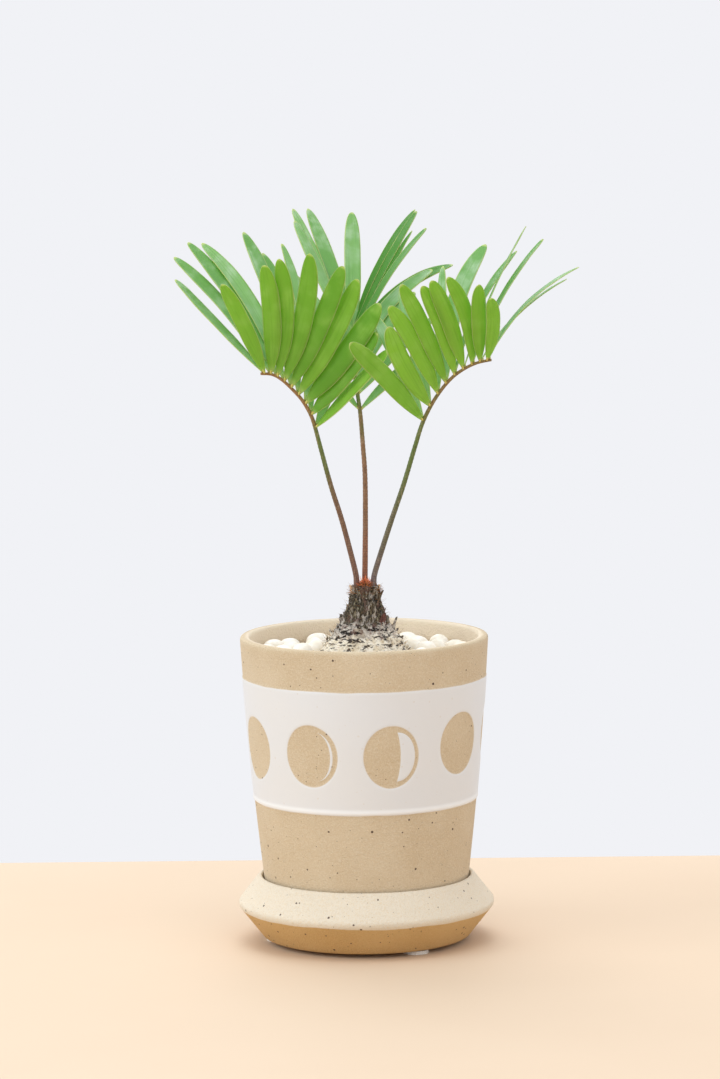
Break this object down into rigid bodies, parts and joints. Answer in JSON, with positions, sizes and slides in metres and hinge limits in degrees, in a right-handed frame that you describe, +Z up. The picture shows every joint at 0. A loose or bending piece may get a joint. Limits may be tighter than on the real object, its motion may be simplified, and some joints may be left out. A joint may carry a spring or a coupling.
{
  "type": "potted zamia",
  "caption": "Small potted zamia cycad with pinnate fronds on a scaly trunk, in a tapered stoneware pot with a glazed moon-phase band, standing on its saucer.",
  "frame": {"origin": "on the ground plane under the pads, in the middle of the plant's outline seen from above; the pot's axis stands 7.4 mm to the -X side and 0.3 mm to the +Y side of it", "axes": "+Z up along the pot's axis, the front of the pot with its half-moon disc faces -Y, +X to the right seen from the front"},
  "size_m": [0.1962, 0.1375, 0.355],
  "materials": {
    "pad_felt": "matte",
    "saucer_clay": "satin",
    "pot_clay": "matte clay with a satin white band",
    "earth": "matte",
    "white_stone": "matte",
    "bark": "rough",
    "wool": "fibrous",
    "leaf_green": "satin"
  },
  "bodies": {
    "root": {"saucer_pad_1": "pad_felt", "saucer_pad_2": "pad_felt", "saucer_pad_3": "pad_felt", "saucer": "saucer_clay", "pot": "pot_clay", "soil": "earth", "pebbles": "white_stone", "caudex": "bark", "crown_wool": "wool", "frond_left": "leaf_green", "frond_middle": "leaf_green", "frond_right": "leaf_green"}
  },
  "joints": []
}
